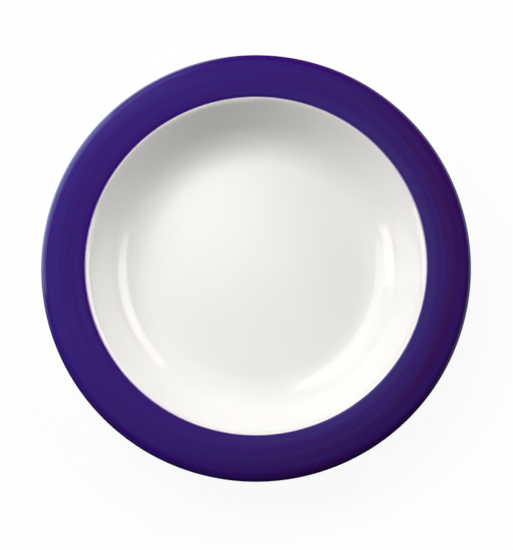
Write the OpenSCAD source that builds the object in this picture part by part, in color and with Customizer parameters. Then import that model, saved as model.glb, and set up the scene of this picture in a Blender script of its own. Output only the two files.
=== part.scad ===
// Rimmed soup plate: one fired porcelain body under four separate coats of glaze.
// The section is a chain of tangent arcs, turned once round +Z. The table is z = 0.

/* [Plate] */
// Diameter over the glazed rim
plate_d = 230; // [222:1:240]
// Height from the table to the crown of the rim, over the glaze
plate_h = 37; // [35:0.5:40]

/* [Rim] */
// Width of the coloured glaze, from the plate's edge in to its seam with the clear glaze
band_w = 24.5; // [21:0.5:26]
// Thickness of the body through the rim and the wall
rim_t = 4.2; // [3.8:0.1:4.5]
// Radius of the dome that the rim is formed to, in section
dome_r = 55; // [45:1:70]
// Slope towards the well at which the dome begins, in degrees
dome_slope = 8; // [5:1:10]
// Radius of the shoulder between the wall and the dome, in section
shoulder_r = 7; // [6:0.5:9]
// Slope of the shoulder where the two glazes meet, in degrees
seam_slope = 30; // [20:1:36]
// Radius of the lip in which the rim turns down at its edge, in section
lip_r = 5.7; // [5.2:0.1:6.6]
// Slope at which the lip runs into the full-round edge, in degrees
lip_slope = 65; // [50:1:75]
// How far the coloured glaze laps below the widest point of the edge, in degrees
lap_angle = 50; // [20:1:60]

/* [Well] */
// Slope of the straight part of the wall, in degrees
wall_slope = 57; // [54:1:60]
// Radius of the bowl curve between the floor and the wall, in section
bowl_r = 24; // [22:1:26]
// Thickness of the body under the flat floor
floor_t = 4.6; // [4.4:0.1:6]

/* [Foot ring] */
// How far the middle of the bearing flat lies outside the flat floor of the well
foot_outset = 3.5; // [1:0.5:6]
// Width of the flat that stands on the table
foot_w = 2.6; // [2:0.1:3.4]
// Height of the glazed ceiling inside the ring above the table
recess_h = 3.2; // [3:0.1:3.8]
// Lean of the ring's outer side from upright, in degrees
foot_lean = 12; // [5:1:20]
// Lean of the ring's inner side from upright, in degrees
recess_lean = 30; // [15:1:40]
// Radius of the ring's two bare corners
foot_corner_r = 0.9; // [0.6:0.1:1]
// Radius of the fillet between the ring's outer side and the bowl
foot_fillet_r = 2.4; // [1.8:0.1:2.6]
// Radius of the fillet between the ring's inner side and the ceiling
recess_fillet_r = 1.8; // [1.2:0.1:2.2]

/* [Glaze] */
// Thickness of every coat of glaze
glaze_t = 0.3; // [0.2:0.05:0.4]

/* [Hidden] */
// Furthest that a straight step of the section may lie from its true arc
curve_tol = 0.005;
// Flat steps that the turned shapes are drawn with
turn_steps = 180;

// Angles of a surface's outward normal, anticlockwise from the plate's radius
down = angle_of([0, -1]);
up = angle_of([0, 1]);
inward = angle_of([-1, 0]);

// Whether a curve swells out of the body or is hollowed into it
convex = 1;
hollow = -1;

// Heights of the fired body, under its glaze
ceiling_z = recess_h + glaze_t;
floor_z = ceiling_z + floor_t;
crown_z = plate_h - glaze_t;
body_r = plate_d / 2 - glaze_t;

// The rim: a small shoulder, a wide dome, a lip and a full-round edge, each tangent to the next
edge_r = rim_t / 2;
seam_x = plate_d / 2 - band_w;
shoulder_x = seam_x + (shoulder_r + glaze_t) * sin(seam_slope);
dome_x = shoulder_x + (dome_r - shoulder_r) * sin(dome_slope);
dome_c = [dome_x, crown_z - dome_r];
shoulder_c = [shoulder_x, dome_c.y + (dome_r - shoulder_r) * cos(dome_slope)];
lip_x = body_r - edge_r - (lip_r - edge_r) * sin(lip_slope);
lip_start = asin((lip_x - dome_x) / (dome_r - lip_r));
lip_c = dome_c + (dome_r - lip_r) * normal(up - lip_start);
edge_c = lip_c + (lip_r - edge_r) * normal(up - lip_slope);

// The wall: a straight run down from the shoulder to the bowl curve, which ends on the flat floor
wall_top = shoulder_c + shoulder_r * normal(up + wall_slope);
wall_rise = wall_top.y - floor_z - bowl_r * (1 - cos(wall_slope));
bowl_c = [
    wall_top.x - wall_rise / tan(wall_slope) - bowl_r * sin(wall_slope),
    floor_z + bowl_r
];

// The foot ring: two rounded corners beside the flat that it stands on
foot_x = bowl_c.x + foot_outset;
outer_corner_c = [foot_x + foot_w / 2, foot_corner_r];
inner_corner_c = [foot_x - foot_w / 2, foot_corner_r];

// The outer fillet touches the ring's leaning side and the outside of the bowl
under_bowl_r = bowl_r + rim_t;
foot_fillet_c = line_meets_circle(
    outer_corner_c + (foot_corner_r + foot_fillet_r) * normal(-foot_lean),
    normal(up - foot_lean),
    bowl_c,
    under_bowl_r + foot_fillet_r
);
foot_fillet_turn = angle_of(foot_fillet_c - bowl_c);

// The inner fillet touches the ring's inner side and the flat ceiling
recess_side = inner_corner_c
    + (foot_corner_r + recess_fillet_r) * normal(inward + recess_lean);
recess_fillet_z = ceiling_z - recess_fillet_r;
recess_fillet_c = [
    recess_side.x - (recess_fillet_z - recess_side.y) * tan(recess_lean),
    recess_fillet_z
];

// Unit vector that points along an angle
function normal(angle) = [cos(angle), sin(angle)];

// Angle that a vector points along
function angle_of(v) = atan2(v.y, v.x);

// Lower of the two points at which a line, rising along a unit vector, meets a circle
function line_meets_circle(point, along, centre, radius) =
    let (
        from_centre = point - centre,
        half_b = from_centre * along,
        c = from_centre * from_centre - radius * radius
    )
    point - (half_b + sqrt(half_b * half_b - c)) * along;

// Arc of the section: its centre, its radius on the body, the normals at its ends and its swell
function arc(centre, radius, from, to, swell) = [centre, radius, from, to, swell];

// Point of the section with its normal, where a coat ends or meets the plate's axis
function point(at, facing) = arc(at, 0, facing, facing, convex);

// Straight steps that an arc takes to stay within the tolerance
function arc_steps(radius, sweep) = ceil(abs(sweep) / (2 * acos(1 - curve_tol / radius)));

// Points along one arc, lifted off the body by a coat's thickness
function arc_points(bend, lift) =
    let (
        centre = bend[0],
        radius = bend[1],
        from = bend[2],
        to = bend[3],
        reach = radius + bend[4] * lift
    )
    from == to
        ? [centre + reach * normal(from)]
        : let (steps = arc_steps(radius, to - from))
            [for (i = [0:steps]) centre + reach * normal(from + (to - from) * i / steps)];

// Points along a chain of arcs, whose ends the outline joins with straight lines
function chain_points(chain, lift) = [for (bend = chain) each arc_points(bend, lift)];

// The same points, from the last to the first
function reversed(points) = [for (i = [len(points) - 1:-1:0]) points[i]];

// Closed outline of a coat: out along its glazed face and back along the body
function coat_outline(chain) =
    concat(chain_points(chain, glaze_t), reversed(chain_points(chain, 0)));

// Inside of the plate, from the flat floor up to the seam between the glazes
well_chain = [
    point([0, floor_z], up),
    arc(bowl_c, bowl_r, down, down + wall_slope, hollow),
    arc(shoulder_c, shoulder_r, up + wall_slope, up + seam_slope, convex)
];

// Top of the rim, from the seam over the crown and down the lip to below the edge
rim_chain = [
    arc(shoulder_c, shoulder_r, up + seam_slope, up + dome_slope, convex),
    arc(dome_c, dome_r, up + dome_slope, up - lip_start, convex),
    arc(lip_c, lip_r, up - lip_start, up - lip_slope, convex),
    arc(edge_c, edge_r, up - lip_slope, -lap_angle, convex)
];

// Underside, from the edge in to the bare foot
underside_chain = [
    arc(edge_c, edge_r, -lap_angle, down - lip_slope, convex),
    arc(lip_c, lip_r - rim_t, up - lip_slope, up - lip_start, hollow),
    arc(dome_c, dome_r - rim_t, up - lip_start, up + dome_slope, hollow),
    arc(shoulder_c, shoulder_r - rim_t, up + dome_slope, up + wall_slope, hollow),
    arc(bowl_c, under_bowl_r, down + wall_slope, foot_fillet_turn, convex),
    arc(foot_fillet_c, foot_fillet_r, foot_fillet_turn + inward, inward - foot_lean, hollow),
    point(outer_corner_c + foot_corner_r * normal(-foot_lean), -foot_lean)
];

// Bare foot: its two corners, on either side of the flat that the plate stands on
foot_chain = [
    arc(outer_corner_c, foot_corner_r, -foot_lean, down, convex),
    arc(inner_corner_c, foot_corner_r, down, recess_lean - inward, convex)
];

// Recess inside the foot ring, from the bare foot up to the ceiling and in to the axis
recess_chain = [
    point(
        inner_corner_c + foot_corner_r * normal(recess_lean - inward),
        recess_lean - inward
    ),
    arc(recess_fillet_c, recess_fillet_r, recess_lean, up, hollow),
    point([0, ceiling_z], down)
];

// Turns a section round the plate's axis
module turned(outline) {
    rotate_extrude($fn = turn_steps)
        polygon(outline);
}

// Fired body, bare only where the foot ring stands on the table
module porcelain_body() {
    whole_section = concat(well_chain, rim_chain, underside_chain, foot_chain, recess_chain);
    color("#EDE6D8")
        turned(chain_points(whole_section, 0));
}

// Coloured glaze on the rim, lapped round its edge
module rim_glaze() {
    color("#371E6E")
        turned(coat_outline(rim_chain));
}

// Clear glaze over the floor and the wall of the well
module well_glaze() {
    color("#F1EFEB")
        turned(coat_outline(well_chain));
}

// Clear glaze under the rim and down the outside to the foot ring
module underside_glaze() {
    color("#EFEDE8")
        turned(coat_outline(underside_chain));
}

// Clear glaze inside the foot ring
module foot_recess_glaze() {
    color("#EFEDE8")
        turned(coat_outline(recess_chain));
}

porcelain_body();
rim_glaze();
well_glaze();
underside_glaze();
foot_recess_glaze();
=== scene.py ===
import math

import bpy
import numpy as np
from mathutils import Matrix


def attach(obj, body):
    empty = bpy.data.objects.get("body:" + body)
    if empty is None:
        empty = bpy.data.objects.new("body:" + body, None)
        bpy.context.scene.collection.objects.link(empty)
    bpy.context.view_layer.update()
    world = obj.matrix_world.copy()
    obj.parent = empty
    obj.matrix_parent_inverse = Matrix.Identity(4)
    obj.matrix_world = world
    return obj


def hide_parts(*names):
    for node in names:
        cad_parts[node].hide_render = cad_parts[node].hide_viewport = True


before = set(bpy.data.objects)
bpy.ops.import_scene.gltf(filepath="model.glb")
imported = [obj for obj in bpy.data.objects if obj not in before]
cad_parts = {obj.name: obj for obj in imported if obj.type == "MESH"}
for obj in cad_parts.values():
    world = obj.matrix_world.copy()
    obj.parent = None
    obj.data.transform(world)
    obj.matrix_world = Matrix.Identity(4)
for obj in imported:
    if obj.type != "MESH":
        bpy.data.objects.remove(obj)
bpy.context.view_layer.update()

# The fired body: one piece of hard porcelain, pressed between a mould and a turning profile,
# so its whole section is a chain of arcs, each tangent to the next. Glaze covers it all over,
# except on the foot ring, which stands bare in the kiln and is ground smooth afterwards.
MM = 0.001
PLATE_R = 115 * MM
PLATE_H = 37 * MM
BAND_W = 24.5 * MM
RIM_T = 4.2 * MM
DOME_R = 55 * MM
DOME_SLOPE = math.radians(8)
SHOULDER_R = 7 * MM
SEAM_SLOPE = math.radians(30)
LIP_R = 5.7 * MM
LIP_SLOPE = math.radians(65)
LAP_ANGLE = math.radians(50)
WALL_SLOPE = math.radians(57)
BOWL_R = 24 * MM
FLOOR_T = 4.6 * MM
FOOT_OUTSET = 3.5 * MM
FOOT_W = 2.6 * MM
FOOT_LEAN = math.radians(12)
FOOT_CORNER_R = 0.9 * MM
FOOT_FILLET_R = 2.4 * MM
RECESS_H = 3.2 * MM
RECESS_LEAN = math.radians(30)
RECESS_FILLET_R = 1.8 * MM
GLAZE_T = 0.3 * MM

# Directions in the section, anticlockwise from the plate's radius, and the two kinds of bend
UP, DOWN, INWARD = math.radians(90), math.radians(-90), math.radians(180)
CONVEX, HOLLOW = 1, -1

# Longest step along an arc, steps round the plate, and length of the waves in a glazed face
ARC_STEP = 0.02 * MM
STEPS_ROUND = 360
WAVER_LENGTH = 26 * MM

# Distance within which points are joined, and angle from which an edge stays sharp
JOIN_DISTANCE = 0.001 * MM
CREASE = math.radians(50)

# A Mix node's colours share their names with its other sockets, so they go by number
COLOUR_A, COLOUR_B, MIXED = 6, 7, 2


def normal(angle):
    """Unit vector of the section, whose two axes are radius and height."""
    return np.array([math.cos(angle), math.sin(angle)])


def line_meets_circle(point, along, centre, radius):
    """Lower point at which a line, rising along a unit vector, meets a circle."""
    from_centre = point - centre
    half = from_centre @ along
    return point - (half + math.sqrt(half ** 2 - from_centre @ from_centre + radius ** 2)) * along


# Heights of the recess's ceiling and of the well's floor, under their glaze
ceiling_z = RECESS_H + GLAZE_T
floor_z = ceiling_z + FLOOR_T

# The rim: a shoulder, a dome, a lip and a full-round edge, each tangent to the next
edge_r = RIM_T / 2
shoulder_x = PLATE_R - BAND_W + (SHOULDER_R + GLAZE_T) * math.sin(SEAM_SLOPE)
dome_x = shoulder_x + (DOME_R - SHOULDER_R) * math.sin(DOME_SLOPE)
dome_c = np.array([dome_x, PLATE_H - GLAZE_T - DOME_R])
shoulder_c = dome_c + (DOME_R - SHOULDER_R) * normal(UP + DOME_SLOPE)
lip_x = PLATE_R - GLAZE_T - edge_r - (LIP_R - edge_r) * math.sin(LIP_SLOPE)
lip_start = math.asin((lip_x - dome_x) / (DOME_R - LIP_R))
lip_c = dome_c + (DOME_R - LIP_R) * normal(UP - lip_start)
edge_c = lip_c + (LIP_R - edge_r) * normal(UP - LIP_SLOPE)

# The wall and the bowl curve, which ends on the flat floor
wall_top = shoulder_c + SHOULDER_R * normal(UP + WALL_SLOPE)
wall_rise = wall_top[1] - floor_z - BOWL_R * (1 - math.cos(WALL_SLOPE))
bowl_x = wall_top[0] - wall_rise / math.tan(WALL_SLOPE) - BOWL_R * math.sin(WALL_SLOPE)
bowl_c = np.array([bowl_x, floor_z + BOWL_R])
under_bowl_r = BOWL_R + RIM_T

# The foot ring: two rounded corners, and a fillet on either side
outer_corner_c = np.array([bowl_x + FOOT_OUTSET + FOOT_W / 2, FOOT_CORNER_R])
inner_corner_c = outer_corner_c - [FOOT_W, 0]
foot_fillet_c = line_meets_circle(
    outer_corner_c + (FOOT_CORNER_R + FOOT_FILLET_R) * normal(-FOOT_LEAN),
    normal(UP - FOOT_LEAN), bowl_c, under_bowl_r + FOOT_FILLET_R)
foot_fillet_turn = -math.acos((foot_fillet_c - bowl_c)[0] / (under_bowl_r + FOOT_FILLET_R))
recess_side = inner_corner_c + (FOOT_CORNER_R + RECESS_FILLET_R) * normal(INWARD + RECESS_LEAN)
recess_fillet_z = ceiling_z - RECESS_FILLET_R
recess_fillet_x = recess_side[0] - (recess_fillet_z - recess_side[1]) * math.tan(RECESS_LEAN)
bare_outside = outer_corner_c + FOOT_CORNER_R * normal(-FOOT_LEAN)
bare_inside = inner_corner_c + FOOT_CORNER_R * normal(RECESS_LEAN - INWARD)

# Each bend is its centre, its radius, its normals at both ends and its swell; a point has no radius
well_chain = [
    ((0, floor_z), 0, UP, UP, CONVEX),
    (bowl_c, BOWL_R, DOWN, DOWN + WALL_SLOPE, HOLLOW),
    (shoulder_c, SHOULDER_R, UP + WALL_SLOPE, UP + SEAM_SLOPE, CONVEX),
]
rim_chain = [
    (shoulder_c, SHOULDER_R, UP + SEAM_SLOPE, UP + DOME_SLOPE, CONVEX),
    (dome_c, DOME_R, UP + DOME_SLOPE, UP - lip_start, CONVEX),
    (lip_c, LIP_R, UP - lip_start, UP - LIP_SLOPE, CONVEX),
    (edge_c, edge_r, UP - LIP_SLOPE, -LAP_ANGLE, CONVEX),
]
underside_chain = [
    (edge_c, edge_r, -LAP_ANGLE, DOWN - LIP_SLOPE, CONVEX),
    (lip_c, LIP_R - RIM_T, UP - LIP_SLOPE, UP - lip_start, HOLLOW),
    (dome_c, DOME_R - RIM_T, UP - lip_start, UP + DOME_SLOPE, HOLLOW),
    (shoulder_c, SHOULDER_R - RIM_T, UP + DOME_SLOPE, UP + WALL_SLOPE, HOLLOW),
    (bowl_c, under_bowl_r, DOWN + WALL_SLOPE, foot_fillet_turn, CONVEX),
    (foot_fillet_c, FOOT_FILLET_R, foot_fillet_turn + INWARD, INWARD - FOOT_LEAN, HOLLOW),
    (bare_outside, 0, -FOOT_LEAN, -FOOT_LEAN, CONVEX),
]
foot_chain = [
    (outer_corner_c, FOOT_CORNER_R, -FOOT_LEAN, DOWN, CONVEX),
    (inner_corner_c, FOOT_CORNER_R, DOWN, RECESS_LEAN - INWARD, CONVEX),
]
recess_chain = [
    (bare_inside, 0, RECESS_LEAN - INWARD, RECESS_LEAN - INWARD, CONVEX),
    ((recess_fillet_x, recess_fillet_z), RECESS_FILLET_R, RECESS_LEAN, UP, HOLLOW),
    ((0, ceiling_z), 0, DOWN, DOWN, CONVEX),
]


def walk(chain, pitch, end_pitch=None):
    """Places, outward normals and distances along a chain, closer together near its ends if asked."""
    places, normals = [], []
    for centre, radius, start, end, swell in chain:
        steps = math.ceil(abs(end - start) * radius / ARC_STEP)
        for angle in np.linspace(start, end, steps + 1):
            places.append(np.add(centre, radius * normal(angle)))
            normals.append(swell * normal(angle))
    places, normals = np.array(places), np.array(normals)
    along = np.r_[0, np.cumsum(np.hypot(*np.diff(places, axis=0).T))]
    stops = np.linspace(0, along[-1], 1 + math.ceil(along[-1] / pitch))
    if end_pitch:
        ends = np.arange(0, 2 * pitch, end_pitch)
        middle = stops[(stops > ends[-1]) & (stops < along[-1] - ends[-1])]
        stops = np.r_[ends, middle, along[-1] - ends[::-1]]
    at_stops = np.array([np.interp(stops, along, column) for column in (*places.T, *normals.T)]).T
    return at_stops[:, :2], at_stops[:, 2:], stops


def add_node(tree, kind, inputs=None, **settings):
    """Adds a node with its settings; each input is a value, or a node or socket to link from."""
    node = tree.nodes.new(kind)
    for name, value in settings.items():
        setattr(node, name, value)
    for name, value in (inputs or {}).items():
        if isinstance(value, bpy.types.Node):
            value = value.outputs[0]
        if isinstance(value, bpy.types.NodeSocket):
            tree.links.new(value, node.inputs[name])
        else:
            node.inputs[name].default_value = value
    return node


def turning_tree():
    """Geometry nodes that turn a section about the upright axis, with a slow waver in its glazed face."""
    tree = bpy.data.node_groups.new("turning", "GeometryNodeTree")
    for name, kind in (
        ("Section", "NodeSocketGeometry"), ("Radius", "NodeSocketFloat"), ("Steps Round", "NodeSocketInt"),
        ("Waver", "NodeSocketFloat"), ("Waver Length", "NodeSocketFloat"), ("Finish", "NodeSocketMaterial"),
    ):
        tree.interface.new_socket(name, in_out="INPUT", socket_type=kind)
    tree.interface.new_socket("Ware", in_out="OUTPUT", socket_type="NodeSocketGeometry")
    given = add_node(tree, "NodeGroupInput").outputs

    # The section goes round a circle of the plate's radius, and is joined up where it meets the axis
    section = add_node(tree, "GeometryNodeMeshToCurve", {"Mesh": given["Section"]})
    wheel = add_node(
        tree, "GeometryNodeCurvePrimitiveCircle",
        {"Resolution": given["Steps Round"], "Radius": given["Radius"]})
    upright = add_node(tree, "GeometryNodeSetCurveNormal", {"Curve": wheel}, mode="Z_UP")
    turned = add_node(tree, "GeometryNodeCurveToMesh", {"Curve": upright, "Profile Curve": section})
    closed = add_node(tree, "GeometryNodeMergeByDistance", {"Geometry": turned, "Distance": JOIN_DISTANCE})

    # The waver only sinks the glazed face, so that the piece keeps its outer size
    here = add_node(tree, "GeometryNodeInputPosition")
    per_length = add_node(tree, "ShaderNodeMath", {0: 1.0, 1: given["Waver Length"]}, operation="DIVIDE")
    wave = add_node(tree, "ShaderNodeTexNoise", {"Vector": here, "Scale": per_length, "Detail": 1.0})
    face = add_node(tree, "GeometryNodeInputNamedAttribute", {"Name": "glazed"}, data_type="FLOAT")
    depth = add_node(tree, "ShaderNodeMath", {0: given["Waver"], 1: face}, operation="MULTIPLY")
    sink = add_node(tree, "ShaderNodeMath", {0: wave, 1: depth}, operation="MULTIPLY")
    rise = add_node(tree, "ShaderNodeMath", {0: sink, 1: -1.0}, operation="MULTIPLY")
    outward = add_node(tree, "GeometryNodeInputNormal")
    offset = add_node(tree, "ShaderNodeVectorMath", {0: outward, "Scale": rise}, operation="SCALE")
    wavy = add_node(tree, "GeometryNodeSetPosition", {"Geometry": closed, "Offset": offset})

    # It is shaded smooth, except across its few sharp edges
    angle = add_node(tree, "GeometryNodeInputMeshEdgeAngle")
    gentle = add_node(tree, "FunctionNodeCompare", {"A": angle, "B": CREASE}, operation="LESS_THAN")
    smooth = add_node(tree, "GeometryNodeSetShadeSmooth", {0: wavy, "Shade Smooth": True})
    creased = add_node(
        tree, "GeometryNodeSetShadeSmooth", {0: smooth, "Shade Smooth": gentle}, domain="EDGE")
    real = add_node(tree, "GeometryNodeRealizeInstances", {0: creased})
    made = add_node(tree, "GeometryNodeSetMaterial", {"Geometry": real, "Material": given["Finish"]})
    add_node(tree, "NodeGroupOutput", {"Ware": made})
    return tree


turning = turning_tree()


def turn(name, places, finish, glazed=None, along=None, waver=0.0):
    """Turns a section into a piece at the origin, which keeps along and wavers where glazed is 1."""
    section = bpy.data.meshes.new(name)
    edges = [(i, i + 1) for i in range(len(places) - 1)]
    if places[-1][0] > 0:
        edges.append((len(places) - 1, 0))
    section.from_pydata([(radius - PLATE_R, -height, 0) for radius, height in places], edges, [])
    for attribute, values in (("glazed", glazed), ("along", along)):
        if values is not None:
            section.attributes.new(attribute, "FLOAT", "POINT").data.foreach_set("value", values)
    piece = bpy.data.objects.new(name, section)
    bpy.context.scene.collection.objects.link(piece)
    modifier = piece.modifiers.new("turning", "NODES")
    modifier.node_group = turning
    given = {
        "Radius": PLATE_R, "Steps Round": STEPS_ROUND, "Waver": waver, "Waver Length": WAVER_LENGTH,
        "Finish": finish}
    for socket in turning.interface.items_tree:
        if socket.name in given:
            modifier[socket.identifier] = given[socket.name]
    evaluated = piece.evaluated_get(bpy.context.evaluated_depsgraph_get())
    piece.data = bpy.data.meshes.new_from_object(evaluated)
    piece.modifiers.clear()
    return piece


def srgb(code):
    """Linear colour of an sRGB hex value."""
    shares = [int(code[i:i + 2], 16) / 255 for i in (1, 3, 5)]
    return (*(s / 12.92 if s <= 0.04045 else ((s + 0.055) / 1.055) ** 2.4 for s in shares), 1.0)


def new_material(name):
    """Material with its tree, its shader and the coordinates of the piece in metres."""
    material = bpy.data.materials.new(name)
    material.use_nodes = True
    tree = material.node_tree
    shader = tree.nodes["Principled BSDF"]
    place = add_node(tree, "ShaderNodeTexCoord").outputs["Object"]
    return material, tree, shader, place


# Bisque porcelain, ground on the foot: hard, white and dull, with the grit's fine circular marks.
# The real grain and marks are too fine to show, so they are drawn this coarse.
GRAIN_W = 0.35 * MM
MARK_W = 0.12 * MM
GRIT_DEPTH = 0.02 * MM
bisque, tree, shader, place = new_material("ground_bisque_porcelain")
shader.inputs["Roughness"].default_value = 0.72
shader.inputs["IOR"].default_value = 1.5
grain = add_node(tree, "ShaderNodeTexNoise", {"Vector": place, "Scale": 1 / GRAIN_W, "Detail": 3.0})
tone = add_node(
    tree, "ShaderNodeMix", {0: grain, COLOUR_A: srgb("#E4DCCC"), COLOUR_B: srgb("#F0EADF")},
    data_type="RGBA").outputs[MIXED]
tree.links.new(tone, shader.inputs["Base Color"])
flat = add_node(tree, "ShaderNodeVectorMath", {0: place, 1: (1, 1, 0)}, operation="MULTIPLY")
radius = add_node(tree, "ShaderNodeVectorMath", {0: flat}, operation="LENGTH").outputs["Value"]
marks = add_node(
    tree, "ShaderNodeTexNoise", {"W": radius, "Scale": 1 / MARK_W, "Detail": 2.0}, noise_dimensions="1D")
rough = add_node(tree, "ShaderNodeMath", {0: grain, 1: marks}, operation="ADD")
bump = add_node(tree, "ShaderNodeBump", {"Height": rough, "Distance": GRIT_DEPTH, "Strength": 0.5})
tree.links.new(bump.outputs[0], shader.inputs["Normal"])

# It is stepped coarsely under the glaze and finely on the bare foot
body_places = np.concatenate([
    walk(chain, pitch)[0] for chain, pitch in (
        (well_chain, 2 * MM), (rim_chain, 1 * MM), (underside_chain, 2 * MM),
        (foot_chain, 0.12 * MM), (recess_chain, 2 * MM))])
fired_body = turn("fired_body", body_places, bisque)
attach(fired_body, "root")
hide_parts("porcelain_body")

# Clear glaze in the well: a glassy coat over the white body, poured in and swirled out again. It
# gives a bright, faintly warm white under a sharp gloss, and a floor that is not quite even. It
# runs out in a soft roll against the coloured rim.

# Shares of its thickness by which a coat rolls down at a seam and at the bare foot
SEAM_ROLL = 0.35
FOOT_ROLL = 0.9
ROLL_W = 0.5 * MM
ROLL_STEP = 0.06 * MM
# Depth of the waver, and how far in from a coat's end it reaches that
WAVER = 0.05 * MM
WAVER_RUN_IN = 2 * MM


def coat(name, chain, pitch, finish, rolls):
    """A coat laid on a chain; its skin rolls down by a share of its thickness at the start and the end."""
    places, normals, along = walk(chain, pitch, ROLL_STEP)
    from_ends = (along, along[-1] - along)
    skin = np.ones(len(along))
    for share, distance in zip(rolls, from_ends):
        inside = np.clip(1 - distance / ROLL_W, 0, 1)
        skin -= share * (1 - np.sqrt(1 - inside ** 2))
    # Its back lies unseen on the body, so it takes three times the pitch
    back, _, back_along = walk(chain, 3 * pitch)
    outline = np.concatenate([places + GLAZE_T * skin[:, None] * normals, back[::-1]])
    free = np.clip(np.min(from_ends, axis=0) / WAVER_RUN_IN, 0, 1)
    return turn(
        name, outline, finish, glazed=np.r_[free, 0 * back_along],
        along=np.r_[along, back_along[::-1]], waver=WAVER)


# Clear glaze: its white clouds a little where it pooled, and its gloss swirls where it was poured
CLOUD_W = 30 * MM
SWIRL_W = 9 * MM
SWIRL_DEPTH = 0.03 * MM
clear_glaze, tree, shader, place = new_material("clear_glaze_on_white_porcelain")
shader.inputs["Roughness"].default_value = 0.025
shader.inputs["IOR"].default_value = 1.5
cloud = add_node(tree, "ShaderNodeTexNoise", {"Vector": place, "Scale": 1 / CLOUD_W, "Detail": 2.0})
tone = add_node(
    tree, "ShaderNodeMix", {0: cloud, COLOUR_A: srgb("#F4F2EE"), COLOUR_B: srgb("#F1EFEC")},
    data_type="RGBA").outputs[MIXED]
tree.links.new(tone, shader.inputs["Base Color"])
swirl = add_node(tree, "ShaderNodeTexNoise", {"Vector": place, "Scale": 1 / SWIRL_W, "Detail": 1.0})
bump = add_node(tree, "ShaderNodeBump", {"Height": swirl, "Distance": SWIRL_DEPTH, "Strength": 1.0})
tree.links.new(bump.outputs[0], shader.inputs["Normal"])

well_coat = coat(
    "clear_well_coat", well_chain, pitch=0.7 * MM, finish=clear_glaze, rolls=(0, SEAM_ROLL))
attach(well_coat, "root")
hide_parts("well_glaze")

# Clear glaze under the plate: the same glaze, dipped on, from the lap of the coloured glaze down
# to the foot ring, where it is wiped back and ends in a rounded bead just above the bare foot.
underside_coat = coat(
    "clear_underside_coat", underside_chain, pitch=0.8 * MM, finish=clear_glaze,
    rolls=(SEAM_ROLL, FOOT_ROLL))
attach(underside_coat, "root")
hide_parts("underside_glaze")

# Clear glaze in the recess of the foot: the same dip, cut off from the rest by the bare foot ring.
# It ends in the same rounded bead.
recess_coat = coat(
    "clear_foot_recess_coat", recess_chain, pitch=0.8 * MM, finish=clear_glaze, rolls=(FOOT_ROLL, 0))
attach(recess_coat, "root")
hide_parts("foot_recess_glaze")

# Coloured glaze on the rim: violet-blue, sprayed on while the plate turns, and fired to a gloss. It
# holds a painted sheen, a painted reflection and painted shade that change from one side to the other,
# shows faint rings where the passes of the gun overlap, and thins to a lilac line at the slightly oval
# seam.
RIGHT_WAY = (0.96, -0.28, 0)
OVAL_WAY = (0.94, 0.34, 0)
OVAL_BY = 0.4 * MM
RAGGED_BY = 0.2 * MM
RAGGED_W = 2.5 * MM
LILAC_START, LILAC_END = -0.2 * MM, 0.45 * MM
PASS_GAP = 3.5 * MM
PASS_DEPTH = 0.03 * MM
rim_glaze, tree, shader, place = new_material("sprayed_violet_blue_glaze")
shader.inputs["Roughness"].default_value = 0.08
shader.inputs["IOR"].default_value = 1.5
from_seam = add_node(tree, "ShaderNodeAttribute", attribute_name="along").outputs["Fac"]
to_right = add_node(
    tree, "ShaderNodeVectorMath", {0: place, 1: RIGHT_WAY}, operation="DOT_PRODUCT").outputs["Value"]

# Painted light: the colour is bluer by the edge on the left, as a painted sheen on the lit side, and on
# the right it is lighter by the seam, as a painted reflection, and darker by the edge, as painted shade.
# Each tone sets in over one stretch to the right and one out from the seam, in millimetres.
tone = srgb("#340F70")
for code, across_plate, outward in (
    # Painted sheen on the lit left, by the edge
    ("#36197A", (-50, -95), (11, 18)),
    # Painted reflection on the right, by the seam
    ("#392470", (-40, 75), (8, 4)),
    # Painted shade on the right, by the edge
    ("#350D5A", (-40, 75), (3, 13)),
):
    painted_light_by_side, by_distance = (
        add_node(
            tree, "ShaderNodeMapRange", {"Value": measure, "From Min": none * MM, "From Max": full * MM},
            interpolation_type="SMOOTHSTEP")
        for measure, (none, full) in ((to_right, across_plate), (from_seam, outward)))
    share = add_node(tree, "ShaderNodeMath", {0: painted_light_by_side, 1: by_distance}, operation="MULTIPLY")
    tone = add_node(
        tree, "ShaderNodeMix", {0: share, COLOUR_A: tone, COLOUR_B: srgb(code)},
        data_type="RGBA").outputs[MIXED]

# Rings of the spray's passes, between which the glaze is thinner
flat = add_node(tree, "ShaderNodeVectorMath", {0: place, 1: (1, 1, 0)}, operation="MULTIPLY")
around = add_node(tree, "ShaderNodeVectorMath", {0: flat}, operation="NORMALIZE")
pass_number = add_node(tree, "ShaderNodeMath", {0: from_seam, 1: 1 / PASS_GAP}, operation="MULTIPLY")
pass_at = add_node(tree, "ShaderNodeCombineXYZ", {"Z": pass_number})
pass_place = add_node(tree, "ShaderNodeVectorMath", {0: around, 1: pass_at}, operation="ADD")
passes = add_node(tree, "ShaderNodeTexNoise", {"Vector": pass_place, "Scale": 1.0, "Detail": 2.0})
thin_pass = add_node(
    tree, "ShaderNodeMapRange", {"Value": passes, "From Min": 0.42, "From Max": 0.66, "To Max": 0.45})
tone = add_node(
    tree, "ShaderNodeMix", {0: thin_pass, COLOUR_A: tone, COLOUR_B: srgb("#302378")},
    data_type="RGBA").outputs[MIXED]

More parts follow.
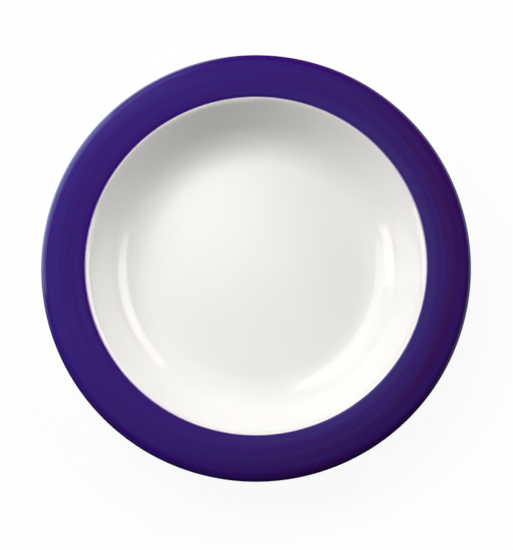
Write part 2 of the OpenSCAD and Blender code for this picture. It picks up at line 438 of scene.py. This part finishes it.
# Lilac line at the seam: a little ragged, and wider at the two ends of the oval
ragged = add_node(tree, "ShaderNodeTexNoise", {"Vector": place, "Scale": 1 / RAGGED_W, "Detail": 2.0})
across = add_node(
    tree, "ShaderNodeVectorMath", {0: around, 1: OVAL_WAY}, operation="DOT_PRODUCT").outputs["Value"]
oval = add_node(tree, "ShaderNodeMath", {0: across, 1: across}, operation="MULTIPLY")
true_edge = add_node(
    tree, "ShaderNodeMath", {0: oval, 1: -OVAL_BY, 2: from_seam}, operation="MULTIPLY_ADD")
reach = add_node(
    tree, "ShaderNodeMath", {0: ragged, 1: -RAGGED_BY, 2: true_edge}, operation="MULTIPLY_ADD")
thick = add_node(
    tree, "ShaderNodeMapRange", {"Value": reach, "From Min": LILAC_START, "From Max": LILAC_END},
    interpolation_type="SMOOTHSTEP")
colour = add_node(
    tree, "ShaderNodeMix", {0: thick, COLOUR_A: srgb("#B7A0D2"), COLOUR_B: tone},
    data_type="RGBA").outputs[MIXED]
tree.links.new(colour, shader.inputs["Base Color"])
bump = add_node(tree, "ShaderNodeBump", {"Height": passes, "Distance": PASS_DEPTH, "Strength": 1.0})
tree.links.new(bump.outputs[0], shader.inputs["Normal"])

rim_coat = coat(
    "coloured_rim_coat", rim_chain, pitch=0.3 * MM, finish=rim_glaze, rolls=(SEAM_ROLL, SEAM_ROLL))
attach(rim_coat, "root")
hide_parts("rim_glaze")

# Floor: a plain white sweep under the plate. Most of its white is its own, so that it shows white
# to the camera and still keeps the plate's soft shadow. The gloss sees it dark, as a tabletop with
# painted pools of window light that glow on it, more at the left than at the right.
FLOOR_HALF = 2.0
WHITE_BY_PLATE = 0.93
WHITE = srgb("#FFFFFF")
DAYLIGHT = srgb("#DAE7FF")
floor_mesh = bpy.data.meshes.new("floor")
corners = [(x * FLOOR_HALF, y * FLOOR_HALF, 0) for x, y in ((-1, -1), (1, -1), (1, 1), (-1, 1))]
floor_mesh.from_pydata(corners, [], [(0, 1, 2, 3)])
floor = bpy.data.objects.new("floor", floor_mesh)
bpy.context.scene.collection.objects.link(floor)

white_sweep, tree, shader, place = new_material("white_sweep")
shader.inputs["Base Color"].default_value = srgb("#F2F2F2")
shader.inputs["Roughness"].default_value = 0.9
shader.inputs["Specular IOR Level"].default_value = 0.1
glow = add_node(tree, "ShaderNodeEmission", {"Color": WHITE, "Strength": 1.0})
ray = add_node(tree, "ShaderNodeLightPath").outputs
away = add_node(tree, "ShaderNodeVectorMath", {0: place}, operation="LENGTH").outputs["Value"]
own_white = add_node(
    tree, "ShaderNodeMapRange",
    {
        "Value": away, "From Min": PLATE_R, "From Max": 2 * PLATE_R,
        "To Min": WHITE_BY_PLATE, "To Max": 1.0},
    interpolation_type="SMOOTHSTEP")
share = add_node(tree, "ShaderNodeMath", {0: ray["Is Camera Ray"], 1: own_white}, operation="MULTIPLY")
mixed = add_node(tree, "ShaderNodeMixShader", {0: share, 1: shader, 2: glow})

# Painted pools of the windows' light, which glow in the gloss alone: each by its direction from the plate,
# how nearly along it starts, and its strength
window_light = 0.0
bearing = add_node(tree, "ShaderNodeVectorMath", {0: place}, operation="NORMALIZE")
for towards, start, strength in (((-0.82, 0.57, 0), 0.6, 3.6), ((0.94, 0.34, 0), 0.5, 0.8)):
    near = add_node(
        tree, "ShaderNodeVectorMath", {0: bearing, 1: towards}, operation="DOT_PRODUCT").outputs["Value"]
    painted_pool = add_node(
        tree, "ShaderNodeMapRange", {"Value": near, "From Min": start, "From Max": 1.0, "To Max": strength},
        interpolation_type="SMOOTHSTEP")
    window_light = add_node(tree, "ShaderNodeMath", {0: painted_pool, 1: window_light}, operation="ADD")
painted_pools = add_node(tree, "ShaderNodeEmission", {"Color": DAYLIGHT, "Strength": window_light})
either = add_node(tree, "ShaderNodeMixShader", {0: ray["Is Glossy Ray"], 1: mixed, 2: painted_pools})
tree.links.new(either.outputs[0], tree.nodes["Material Output"].inputs["Surface"])
floor_mesh.materials.append(white_sweep)

# Soft studio light. Unseen white panels light the plate evenly enough for its colours to render as
# they are written. What the gloss shows is a dark room with a dim glow on the left and overhead, and
# windows on the left, on the right, in front and at the back left.
PANEL_DISTANCE = 1.4
PANEL_W, PANEL_H = 0.75, 0.42
# Glows of the room, each with its azimuth, elevation, half-width and strength, and the dark between them
ROOM_GLOWS = ((130, 30, 30, 1.3), (130, 72, 45, 0.25))
ROOM_DARK = 0.02


def direction(azimuth, elevation):
    """Unit vector towards an azimuth and an elevation, which are in degrees."""
    turned, lift = math.radians(azimuth), math.radians(elevation)
    return math.cos(lift) * math.cos(turned), math.cos(lift) * math.sin(turned), math.sin(lift)


world = bpy.data.worlds.new("studio")
world.use_nodes = True
bpy.context.scene.world = world
tree = world.node_tree
look = add_node(tree, "ShaderNodeTexCoord").outputs["Object"]
room = 0.0
for azimuth, elevation, half_width, strength in ROOM_GLOWS:
    near = add_node(
        tree, "ShaderNodeVectorMath", {0: look, 1: direction(azimuth, elevation)},
        operation="DOT_PRODUCT").outputs["Value"]
    edge = math.cos(math.radians(half_width))
    glow = add_node(
        tree, "ShaderNodeMapRange", {"Value": near, "From Min": edge, "From Max": 1.0, "To Max": strength},
        interpolation_type="SMOOTHSTEP")
    room = add_node(tree, "ShaderNodeMath", {0: glow, 1: room}, operation="ADD")
ray = add_node(tree, "ShaderNodeLightPath").outputs
shown = add_node(tree, "ShaderNodeMath", {0: room, 1: ray["Is Glossy Ray"]}, operation="MULTIPLY")
lit = add_node(tree, "ShaderNodeMath", {0: shown, 1: ROOM_DARK}, operation="ADD")
studio = tree.nodes["Background"]
studio.inputs["Color"].default_value = DAYLIGHT
tree.links.new(lit.outputs[0], studio.inputs["Strength"])
bright = add_node(tree, "ShaderNodeBackground", {"Color": WHITE, "Strength": 1.0})
mixed = add_node(tree, "ShaderNodeMixShader", {0: ray["Is Camera Ray"], 1: studio, 2: bright})
tree.links.new(mixed.outputs[0], tree.nodes["World Output"].inputs["Surface"])


def panel(name, azimuth, elevation, height, size, strength, shown_on=None, colour=WHITE):
    """A panel that faces the axis at a height; it lights unseen, or shows in some pieces' gloss alone."""
    lamp = bpy.data.lights.new(name, "AREA")
    lamp.shape = "RECTANGLE"
    lamp.size, lamp.size_y = size
    lamp.energy = strength * math.pi * size[0] * size[1]
    lamp.color = colour[:3]
    light = bpy.data.objects.new(name, lamp)
    light.visible_camera = False
    light.visible_diffuse = shown_on is None
    light.visible_glossy = shown_on is not None
    light.light_linking.receiver_collection = shown_on
    x, y, z = (PANEL_DISTANCE * part for part in direction(azimuth, elevation))
    light.location = (x, y, z + height)
    light.rotation_euler = (math.radians(90 - elevation), 0, math.radians(azimuth + 90))
    bpy.context.scene.collection.objects.link(light)


# Unseen panels: azimuth, elevation and strength
for name, azimuth, elevation, strength in (
    ("key", 120, 56, 22.9),
    ("left_skirt", 150, 38, 7.6),
    ("back_right_fill", 60, 38, 1.9),
    ("right_fill", 0, 20, 2.2),
    ("right_back_fill", 30, 20, 4.8),
    ("left_fill", 210, 20, 2.9),
):
    width = PANEL_W * math.cos(math.radians(elevation))
    panel(name, azimuth, elevation, PLATE_H, (width, PANEL_H), strength)

# Windows that show in the well: one on each side, the right one brightest in its middle, a dimmer one
# in front and two at the back left. The hollow wall mirrors each on the far side of the plate. The
# other coats show a bluish window on the left alone, brightest in its middle. Each panel has an azimuth,
# the height of its middle, its width and height, a strength, the gloss that shows it and a colour.
well_gloss = bpy.data.collections.new("well_gloss")
well_gloss.objects.link(well_coat)
other_gloss = bpy.data.collections.new("other_gloss")
for piece in (rim_coat, underside_coat, recess_coat):
    other_gloss.objects.link(piece)
for name, azimuth, height, size, strength, shown_on, colour in (
    ("left_window", 178, 0.56, (0.68, 0.84), 3.6, well_gloss, WHITE),
    ("back_left_window", 140, 0.56, (1.37, 0.84), 0.9, well_gloss, WHITE),
    ("high_window", 143.5, 1.85, (2.23, 1.61), 2.2, well_gloss, WHITE),
    ("right_window", 22, 0.56, (1.62, 0.84), 2.7, well_gloss, WHITE),
    ("right_window_middle", 20, 0.56, (0.85, 0.84), 1.7, well_gloss, WHITE),
    ("front_window", 295, 0.56, (1.30, 0.84), 0.8, well_gloss, WHITE),
    ("soft_window_whole", 155, 0.24, (1.37, 1.37), 1.7, other_gloss, DAYLIGHT),
    ("soft_window_middle", 155, 0.24, (0.91, 0.91), 4.8, other_gloss, DAYLIGHT),
    ("soft_window_heart", 155, 0.24, (0.49, 0.49), 4.8, other_gloss, DAYLIGHT),
):
    panel(name, azimuth, 0, height, size, strength, shown_on, colour)

# A soft pool of light from overhead on the back left of the well's floor
pool = bpy.data.lights.new("floor_pool", "SPOT")
pool.energy = 6.9
pool.shadow_soft_size = 0.05
pool.spot_size = math.radians(6.9)
pool.spot_blend = 1.0
pool_light = bpy.data.objects.new("floor_pool", pool)
pool_light.location = (-0.029, 0.034, 1.0)
pool_light.visible_glossy = False
bpy.context.scene.collection.objects.link(pool_light)

# Camera: nearly overhead and 7 degrees towards the front. Its distance, its lens and the point that it
# is aimed at were fitted to the plate's outline and to the seam of the glazes in the photograph.
aim_x, aim_y, aim_z = 0.00026, -0.00636, 0.036
distance = 0.65
elevation = math.radians(83.15)
camera_data = bpy.data.cameras.new("camera")
camera_data.sensor_width = 36
camera_data.lens = 80.16
camera = bpy.data.objects.new("camera", camera_data)
camera.location = (aim_x, aim_y - distance * math.cos(elevation), aim_z + distance * math.sin(elevation))
camera.rotation_euler = (math.radians(90) - elevation, 0, 0)
bpy.context.scene.collection.objects.link(camera)
bpy.context.scene.camera = camera
bpy.context.scene.view_settings.view_transform = "Standard"
